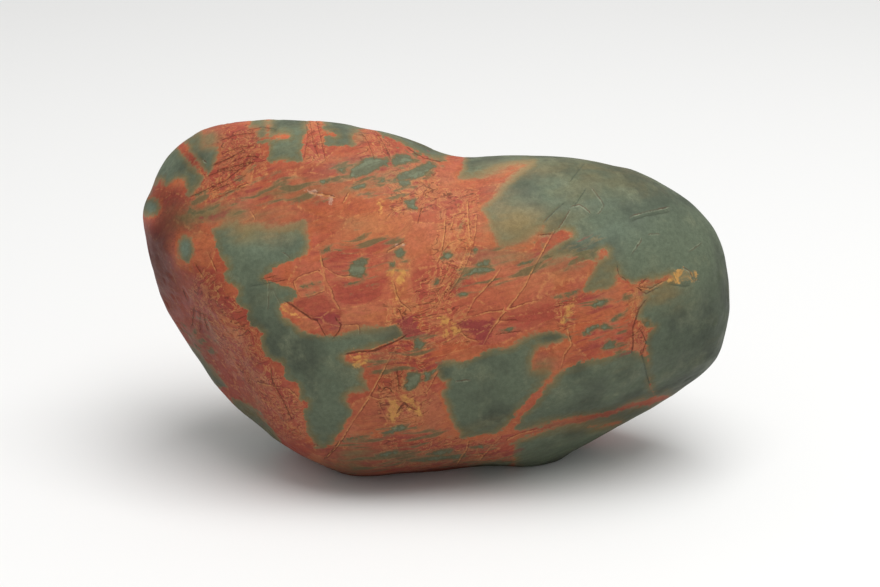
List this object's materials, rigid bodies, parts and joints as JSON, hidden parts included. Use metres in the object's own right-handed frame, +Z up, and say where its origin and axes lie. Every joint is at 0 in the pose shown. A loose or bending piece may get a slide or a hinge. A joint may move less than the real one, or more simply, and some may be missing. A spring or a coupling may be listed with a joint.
{
  "type": "raw dragon stone",
  "caption": "Water-worn boulder of green and red jasper with fine veins and healed cracks, standing on a worn flat on its lower edge.",
  "frame": {"origin": "on the surface the stone stands on, under the middle of its box", "axes": "+Z up, +X along the stone's length, and the broad face looks to -Y and leans back"},
  "size_m": [0.1504, 0.073, 0.0882],
  "materials": {
    "jasper": "satin"
  },
  "bodies": {
    "root": {"stone": "jasper"}
  },
  "joints": []
}
